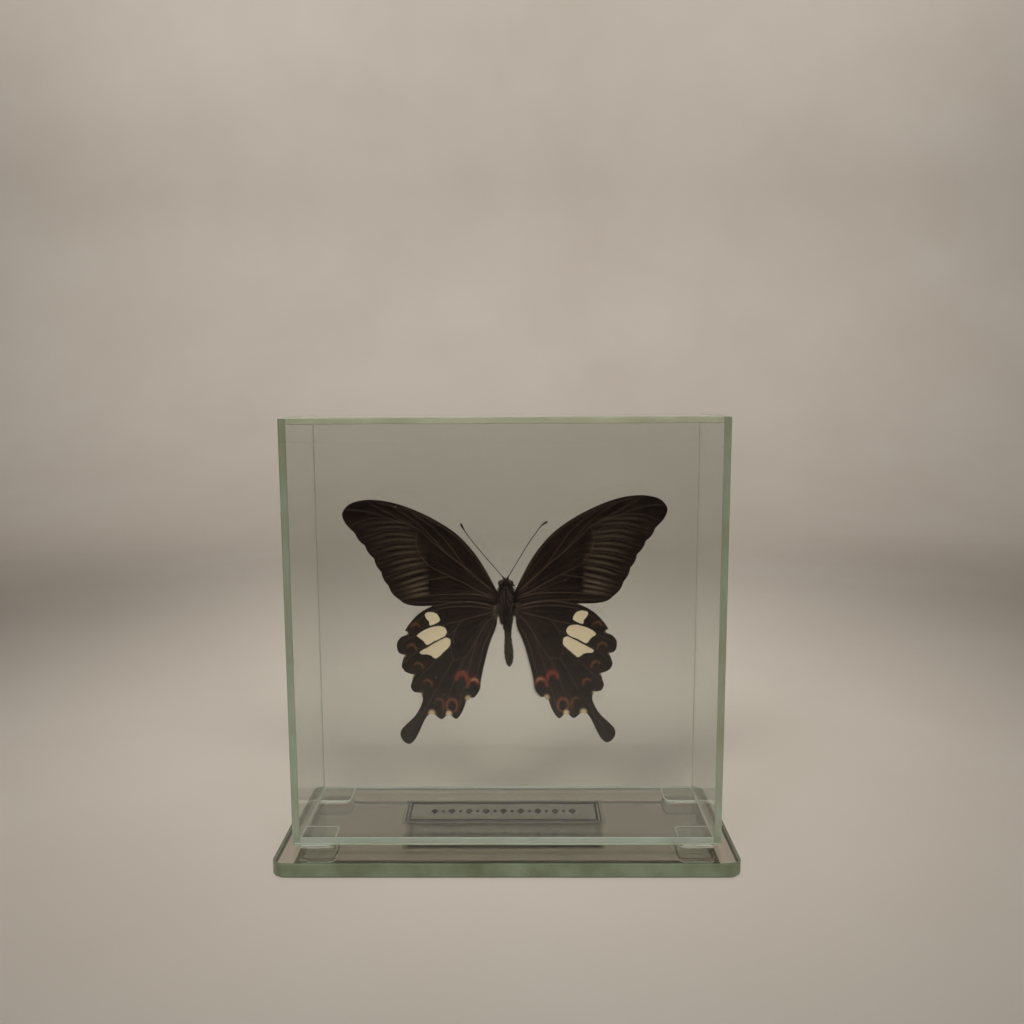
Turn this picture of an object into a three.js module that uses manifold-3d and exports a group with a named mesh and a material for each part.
// A spread swallowtail butterfly in a sealed box of glass sheets, standing on clear pads on a mirror base.
// Millimetres, +Z up. The origin is the centre of the base's underside. The butterfly's underside faces -Y.

import * as THREE from 'three';
import { mergeVertices } from 'three/addons/utils/BufferGeometryUtils.js';
import Module from 'manifold-3d';

const wasm = await Module();
wasm.setup();

// Driving dimensions: mirror base
const BASE_WIDTH = 161;
const BASE_DEPTH = 64;
const BASE_THICKNESS = 5;
const BASE_CORNER_RADIUS = 5;
const BASE_ARRIS = 0.6;

// Driving dimensions: glass box
const CASE_WIDTH = 150;
const CASE_DEPTH = 47;
const CASE_HEIGHT = 149;
const CASE_CENTRE_Y = 1.5;
const SHEET = 2.2;
const SHEET_ARRIS = 0.25;
const GLUE_LINE = 0.1;

// Driving dimensions: clear pads under the box
const PAD_SIDE = 13;
const PAD_THICKNESS = 1.6;
const PAD_CORNER_RADIUS = 2.5;
const PAD_INSET_X = 1.5;
const PAD_INSET_Y = 0.5;

// Driving dimensions: label film on the floor of the box
const LABEL_WIDTH = 74;
const LABEL_DEPTH = 18.6;
const LABEL_THICKNESS = 0.25;
const LABEL_CENTRE_X = -1.4;
const LABEL_CENTRE_Y = 0;

// Driving dimensions: the butterfly, about the point between its wing roots
const SPECIMEN_HEIGHT = 89;
const SPECIMEN_Y = CASE_CENTRE_Y;
const WING_THICKNESS = 0.5;
const CLEARANCE = 0.3;
const FOREWING_TURN_DEG = 0.8;
const HINDWING_TURN_DEG = 0.4;
const SCALLOP_BULGE = 0.35;

const THORAX_CENTRE = [0, -1.0, -1.5];
const THORAX_RADII = [3.3, 3.6, 6.4];
const HEAD_CENTRE = [-0.15, -1.2, 6.5];
const HEAD_RADII = [2.1, 1.9, 2.1];
const EYE_OFFSET = [1.75, -0.5, 0.2];
const EYE_RADIUS = 1.1;
const PALP_RADII = [0.5, 0.8, 1.3];
const PALP_OFFSET = [0.6, -1.6, 0.9];
const ABDOMEN_LEAN_DEG = 2.6;
const ABDOMEN_Y = -0.9;
const LEG_RADIUS = 0.32;

const ANTENNA_RADIUS = 0.2;
const ANTENNA_Y = -1.3;
const CLUB_RADII = [0.45, 0.45, 1.3];

const POST_RADIUS = 1.5;
const POST_FOOT_RADIUS = 4;
const POST_FOOT_THICKNESS = 1;

// Fineness of the facets. A full turn of a tube has two facets for each of its sides, and a corner has two
// for each step.
const CORNER_STEPS = 3;
const SPLINE_STEPS = 4;
const SCALLOP_STEPS = 4;
const BODY_SIDES = 20;
const BODY_RINGS = 12;
const SMALL_SIDES = 10;
const SMALL_RINGS = 8;
const TUBE_SIDES = 4;
const LEG_STEPS = 9;
const ANTENNA_STEPS = 16;

// Wing edges, [outward, up] from the point between the wing roots. Each run is one smooth stretch, and
// neighbouring runs meet in a corner. A run of two points is a shallow scallop between two veins.
const FOREWING_RUNS = [
  [[3.2, 3.2], [5.0, 7.0], [8.2, 13.0], [12.0, 18.7], [17.5, 24.7], [24.6, 29.7], [32.0, 33.5], [39.0, 36.1],
    [45.5, 37.4], [51.5, 37.3], [56.0, 35.8], [58.4, 32.6], [57.4, 29.2], [53.9, 25.3]],
  [[53.9, 25.3], [50.6, 21.0]],
  [[50.6, 21.0], [47.4, 16.2]],
  [[47.4, 16.2], [45.0, 11.3]],
  [[45.0, 11.3], [42.5, 6.2]],
  [[42.5, 6.2], [39.6, 1.6]],
  [[39.6, 1.6], [36.8, -0.6], [32.8, -1.5], [26.0, -1.6], [15.0, -2.0], [3.6, -3.4]],
];

const HINDWING_RUNS = [
  [[3.4, -2.2], [8.0, -0.8], [14.0, 0.0], [20.0, -0.3], [26.0, -1.4], [31.5, -4.3], [35.4, -8.3],
    [37.0, -10.8]],
  [[37.0, -10.8], [36.0, -11.4], [36.6, -12.4]],
  [[36.6, -12.4], [38.3, -13.1], [39.8, -14.8], [40.1, -16.8], [39.4, -19.0], [37.4, -20.0]],
  [[37.4, -20.0], [38.1, -22.0], [38.5, -24.0], [37.4, -26.0], [34.3, -27.4]],
  [[34.3, -27.4], [34.8, -29.6], [35.4, -31.7], [34.4, -33.7], [31.9, -34.3]],
  [[31.9, -34.3], [31.1, -36.2], [31.7, -38.8], [34.0, -42.8], [37.4, -46.2], [39.3, -48.4], [39.6, -50.8],
    [38.2, -53.0], [36.4, -53.7], [34.6, -52.4], [32.6, -48.9], [30.6, -44.6], [28.9, -42.5], [27.0, -42.4]],
  [[27.0, -42.4], [25.9, -43.3], [24.4, -44.3], [23.1, -43.5], [22.2, -42.5]],
  [[22.2, -42.5], [21.1, -42.5]],
  [[21.1, -42.5], [20.1, -43.6], [18.9, -44.3], [17.4, -42.8], [15.9, -39.8], [15.0, -37.1]],
  [[15.0, -37.1], [13.9, -36.3]],
  [[13.9, -36.3], [12.4, -36.1], [10.8, -34.5], [9.9, -32.4], [9.7, -30.2], [9.0, -26.5], [7.9, -22.0],
    [6.6, -17.0], [5.4, -13.6], [4.2, -10.8], [3.5, -8.0], [3.4, -5.5]],
];

// Abdomen profile, [radius, distance along the axis below the wing roots]
const ABDOMEN_PROFILE = [
  [0, -4.0], [1.9, -5.2], [1.9, -8.0], [1.3, -10.8], [1.1, -12.8], [1.35, -15.4],
  [1.65, -18.0], [1.6, -20.6], [1.15, -22.8], [0.5, -24.3], [0, -24.8],
];

// Antenna routes, [x, up]
const ANTENNA_LEFT_ROUTE = [
  [-1.2, 9.1], [-3.6, 11.7], [-7.2, 15.9], [-10.3, 19.7], [-13.4, 23.6], [-16.2, 28.2],
];
const ANTENNA_RIGHT_ROUTE = [
  [0.9, 9.1], [2.8, 12.2], [5.5, 16.7], [8.2, 21.2], [10.9, 25.0], [14.9, 28.9],
];

// Legs folded over the breast on the right side, [x, y, up]; the left ones mirror them
const LEG_ROUTES = [
  [[1.2, -3.2, 1.2], [2.0, -4.7, 4.4], [1.2, -5.2, 5.4], [0.6, -5.2, 2.0], [0.9, -5.0, -1.0]],
  [[2.2, -3.4, 0.2], [2.7, -4.6, 2.6], [2.0, -5.2, 3.2], [1.6, -5.2, 0.0], [1.5, -4.9, -3.6]],
  [[2.2, -3.2, -2.6], [3.0, -4.0, -0.6], [2.7, -4.7, 0.0], [2.3, -4.6, -3.2], [1.4, -4.0, -7.2]],
];

const GLASS = { color: 0xb9cbb6, roughness: 0.05, metalness: 0 };
const MIRROR = { color: 0x7d7162, roughness: 0.05, metalness: 0.6 };
const PAD = { color: 0xc9d6c9, roughness: 0.15, metalness: 0 };
const FILM = { color: 0x8f9088, roughness: 0.3, metalness: 0 };
const WING = { color: 0x241c16, roughness: 0.8, metalness: 0 };
const BODY = { color: 0x2e2322, roughness: 0.85, metalness: 0 };
const ANTENNA = { color: 0x1c1613, roughness: 0.6, metalness: 0 };

const part = new THREE.Group();

function addPiece(name, geometry, finish, position = [0, 0, 0], rotation = [0, 0, 0]) {
  const mesh = new THREE.Mesh(geometry, new THREE.MeshStandardMaterial(finish));
  mesh.name = name;
  mesh.position.set(...position);
  mesh.rotation.set(...rotation);
  part.add(mesh);
}

// Solid joining and cutting
function toSolid(geometry) {
  const bare = geometry.clone();
  bare.deleteAttribute('normal');
  bare.deleteAttribute('uv');
  const merged = mergeVertices(bare, 1e-4);
  const vertProperties = Float32Array.from(merged.attributes.position.array);
  const triVerts = Uint32Array.from(merged.index.array);
  return new wasm.Manifold(new wasm.Mesh({ numProp: 3, vertProperties, triVerts }));
}

function toGeometry(solid) {
  const { vertProperties, triVerts } = solid.getMesh();
  const geometry = new THREE.BufferGeometry();
  geometry.setAttribute('position', new THREE.BufferAttribute(vertProperties, 3));
  geometry.setIndex(new THREE.BufferAttribute(triVerts, 1));
  geometry.computeVertexNormals();
  return geometry;
}

function ellipsoid(centre, radii, sides = BODY_SIDES, rings = BODY_RINGS) {
  const geometry = new THREE.SphereGeometry(1, sides, rings);
  geometry.rotateX(Math.PI / 2);
  geometry.scale(...radii);
  geometry.translate(...centre);
  return geometry;
}

function tube(route, radius, steps) {
  const section = new THREE.Shape();
  section.absarc(0, 0, radius, 0, 2 * Math.PI);
  const path = new THREE.CatmullRomCurve3(route.map((point) => new THREE.Vector3(...point)));
  return new THREE.ExtrudeGeometry(section, {
    extrudePath: path,
    steps,
    curveSegments: TUBE_SIDES,
  });
}

// Flat pieces
function roundedRectangle(width, depth, radius) {
  const x = width / 2 - radius;
  const y = depth / 2 - radius;
  const shape = new THREE.Shape();
  shape.absarc(x, y, radius, 0, Math.PI / 2);
  shape.absarc(-x, y, radius, Math.PI / 2, Math.PI);
  shape.absarc(-x, -y, radius, Math.PI, 1.5 * Math.PI);
  shape.absarc(x, -y, radius, 1.5 * Math.PI, 2 * Math.PI);
  return shape;
}

function rectangle(width, depth) {
  const shape = new THREE.Shape();
  shape.moveTo(-width / 2, -depth / 2);
  shape.lineTo(width / 2, -depth / 2);
  shape.lineTo(width / 2, depth / 2);
  shape.lineTo(-width / 2, depth / 2);
  shape.closePath();
  return shape;
}

// A sheet centred on the origin, with its edges broken by a small flat arris
function sheet(shape, thickness, arris) {
  const geometry = new THREE.ExtrudeGeometry(shape, {
    depth: thickness - 2 * arris,
    bevelThickness: arris,
    bevelSize: arris,
    bevelOffset: -arris,
    bevelSegments: 1,
    curveSegments: CORNER_STEPS,
  });
  geometry.translate(0, 0, arris - thickness / 2);
  return geometry;
}

// Mirror base
const baseShape = roundedRectangle(BASE_WIDTH, BASE_DEPTH, BASE_CORNER_RADIUS);
addPiece('base_plate', sheet(baseShape, BASE_THICKNESS, BASE_ARRIS), MIRROR, [0, 0, BASE_THICKNESS / 2]);

// Clear pads, one near each corner of the box
const caseBottom = BASE_THICKNESS + PAD_THICKNESS;
const padShape = roundedRectangle(PAD_SIDE, PAD_SIDE, PAD_CORNER_RADIUS);
const padX = CASE_WIDTH / 2 - PAD_INSET_X - PAD_SIDE / 2;
const padY = CASE_DEPTH / 2 - PAD_INSET_Y - PAD_SIDE / 2;
for (const [row, signY] of [['front', -1], ['back', 1]]) {
  for (const [side, signX] of [['left', -1], ['right', 1]]) {
    const place = [signX * padX, CASE_CENTRE_Y + signY * padY, BASE_THICKNESS + PAD_THICKNESS / 2];
    addPiece(`pad_${row}_${side}`, sheet(padShape, PAD_THICKNESS - 2 * GLUE_LINE, SHEET_ARRIS), PAD, place);
  }
}

// Glass box: full front and back sheets, side sheets between them, floor and lid between the sides
const caseMiddle = caseBottom + CASE_HEIGHT / 2;
const innerDepth = CASE_DEPTH - 2 * SHEET - 2 * GLUE_LINE;
const innerWidth = CASE_WIDTH - 2 * SHEET - 2 * GLUE_LINE;
const faceY = (CASE_DEPTH - SHEET) / 2;
const sideX = (CASE_WIDTH - SHEET) / 2;
const lidZ = (CASE_HEIGHT - SHEET) / 2;
const standing = [Math.PI / 2, 0, 0];
const standingSide = [Math.PI / 2, Math.PI / 2, 0];
const faceSheet = sheet(rectangle(CASE_WIDTH, CASE_HEIGHT), SHEET, SHEET_ARRIS);
const sideSheet = sheet(rectangle(innerDepth, CASE_HEIGHT), SHEET, SHEET_ARRIS);
const lidSheet = sheet(rectangle(innerWidth, innerDepth), SHEET, SHEET_ARRIS);
addPiece('glass_front', faceSheet, GLASS, [0, CASE_CENTRE_Y - faceY, caseMiddle], standing);
addPiece('glass_back', faceSheet, GLASS, [0, CASE_CENTRE_Y + faceY, caseMiddle], standing);
addPiece('glass_left', sideSheet, GLASS, [-sideX, CASE_CENTRE_Y, caseMiddle], standingSide);
addPiece('glass_right', sideSheet, GLASS, [sideX, CASE_CENTRE_Y, caseMiddle], standingSide);
addPiece('glass_floor', lidSheet, GLASS, [0, CASE_CENTRE_Y, caseMiddle - lidZ]);
addPiece('glass_lid', lidSheet, GLASS, [0, CASE_CENTRE_Y, caseMiddle + lidZ]);

// Label film
const labelZ = caseBottom + SHEET + GLUE_LINE + LABEL_THICKNESS / 2;
const labelGeometry = new THREE.BoxGeometry(LABEL_WIDTH, LABEL_DEPTH, LABEL_THICKNESS);
addPiece('label_film', labelGeometry, FILM, [LABEL_CENTRE_X, LABEL_CENTRE_Y, labelZ]);

// Butterfly body: breast, head, eyes, palps, abdomen and folded legs, fused
const specimen = [0, SPECIMEN_Y, SPECIMEN_HEIGHT];

function abdomen() {
  const profile = ABDOMEN_PROFILE.map(([radius, up]) => new THREE.Vector2(radius, up));
  const geometry = new THREE.LatheGeometry(profile.reverse(), BODY_SIDES);
  geometry.rotateX(Math.PI / 2);
  geometry.rotateY(-THREE.MathUtils.degToRad(ABDOMEN_LEAN_DEG));
  geometry.translate(0, ABDOMEN_Y, 0);
  return geometry;
}

function offset(centre, [x, y, z], side) {
  return [centre[0] + side * x, centre[1] + y, centre[2] + z];
}

let bodySolid = toSolid(ellipsoid(THORAX_CENTRE, THORAX_RADII));
bodySolid = bodySolid.add(toSolid(ellipsoid(HEAD_CENTRE, HEAD_RADII)));
bodySolid = bodySolid.add(toSolid(abdomen()));
for (const side of [-1, 1]) {
  const eyeRadii = Array(3).fill(EYE_RADIUS);
  const eye = ellipsoid(offset(HEAD_CENTRE, EYE_OFFSET, side), eyeRadii, SMALL_SIDES, SMALL_RINGS);
  const palp = ellipsoid(offset(HEAD_CENTRE, PALP_OFFSET, side), PALP_RADII, SMALL_SIDES, SMALL_RINGS);
  bodySolid = bodySolid.add(toSolid(eye)).add(toSolid(palp));
  for (const route of LEG_ROUTES) {
    const mirrored = route.map(([x, y, z]) => [side * x, y, z]);
    bodySolid = bodySolid.add(toSolid(tube(mirrored, LEG_RADIUS, LEG_STEPS)));
  }
}
addPiece('butterfly_body', toGeometry(bodySolid), BODY, specimen);

// Wings: flat plates in two layers, the hindwings over the forewings on the underside, clear of the body
const thoraxReach = THORAX_RADII.map((radius) => radius + CLEARANCE);
const headReach = HEAD_RADII.map((radius) => radius + CLEARANCE);
const eyeReach = Array(3).fill(EYE_RADIUS + CLEARANCE);
let bodyRoom = toSolid(ellipsoid(THORAX_CENTRE, thoraxReach)).add(toSolid(ellipsoid(HEAD_CENTRE, headReach)));
for (const side of [-1, 1]) {
  bodyRoom = bodyRoom.add(toSolid(ellipsoid(offset(HEAD_CENTRE, EYE_OFFSET, side), eyeReach)));
}

function runPoints(run) {
  if (run.length > 2) {
    const curve = new THREE.CatmullRomCurve3(run.map(([x, up]) => new THREE.Vector3(x, up, 0)));
    return curve.getPoints(SPLINE_STEPS * (run.length - 1));
  }
  const start = new THREE.Vector2(...run[0]);
  const end = new THREE.Vector2(...run[1]);
  const along = end.clone().sub(start).normalize();
  const outward = new THREE.Vector2(-along.y, along.x);
  const middle = start.clone().add(end).multiplyScalar(0.5).addScaledVector(outward, 2 * SCALLOP_BULGE);
  return new THREE.QuadraticBezierCurve(start, middle, end).getPoints(SCALLOP_STEPS);
}

// The whole specimen is turned a little, which lifts its right wings and lowers its left ones
function wingShape(runs, side, turnDeg) {
  const turn = THREE.MathUtils.degToRad(turnDeg);
  const points = runs.flatMap((run) => runPoints(run).slice(1));
  return new THREE.Shape(points.map(({ x, y }) => {
    return new THREE.Vector2(side * x, y).rotateAround(new THREE.Vector2(0, 0), turn);
  }));
}

function wing(runs, side, turnDeg, layerY) {
  const shape = wingShape(runs, side, turnDeg);
  const geometry = new THREE.ExtrudeGeometry(shape, { depth: WING_THICKNESS, bevelEnabled: false });
  geometry.rotateX(Math.PI / 2);
  geometry.translate(0, layerY + WING_THICKNESS, 0);
  return toGeometry(toSolid(geometry).subtract(bodyRoom));
}

const forewingLayer = 0;
const hindwingLayer = -WING_THICKNESS - CLEARANCE;
for (const [name, side] of [['left', -1], ['right', 1]]) {
  addPiece(`forewing_${name}`, wing(FOREWING_RUNS, side, FOREWING_TURN_DEG, forewingLayer), WING, specimen);
  addPiece(`hindwing_${name}`, wing(HINDWING_RUNS, side, HINDWING_TURN_DEG, hindwingLayer), WING, specimen);
}

// Antennae, each with a small club at its end
function antenna(route) {
  const points = route.map(([x, up]) => [x, ANTENNA_Y, up]);
  const [beforeLast, last] = route.slice(-2);
  const lean = Math.atan2(last[0] - beforeLast[0], last[1] - beforeLast[1]);
  const club = ellipsoid([0, 0, -CLUB_RADII[2]], CLUB_RADII, SMALL_SIDES, SMALL_RINGS);
  club.rotateY(lean);
  club.translate(last[0], ANTENNA_Y, last[1]);
  return toGeometry(toSolid(tube(points, ANTENNA_RADIUS, ANTENNA_STEPS)).add(toSolid(club)));
}

addPiece('antenna_left', antenna(ANTENNA_LEFT_ROUTE), ANTENNA, specimen);
addPiece('antenna_right', antenna(ANTENNA_RIGHT_ROUTE), ANTENNA, specimen);

// Clear post from the butterfly's back to the far sheet
const postStart = SPECIMEN_Y + THORAX_CENTRE[1] + THORAX_RADII[1] + CLEARANCE;
const postEnd = CASE_CENTRE_Y + CASE_DEPTH / 2 - SHEET - GLUE_LINE;
const postProfile = [
  [0, postStart], [POST_RADIUS, postStart], [POST_RADIUS, postEnd - POST_FOOT_THICKNESS],
  [POST_FOOT_RADIUS, postEnd - POST_FOOT_THICKNESS], [POST_FOOT_RADIUS, postEnd], [0, postEnd],
].map(([radius, y]) => new THREE.Vector2(radius, y));
const postGeometry = new THREE.LatheGeometry(postProfile, BODY_SIDES);
addPiece('support_post', postGeometry, PAD, [THORAX_CENTRE[0], 0, SPECIMEN_HEIGHT + THORAX_CENTRE[2]]);

export default part;
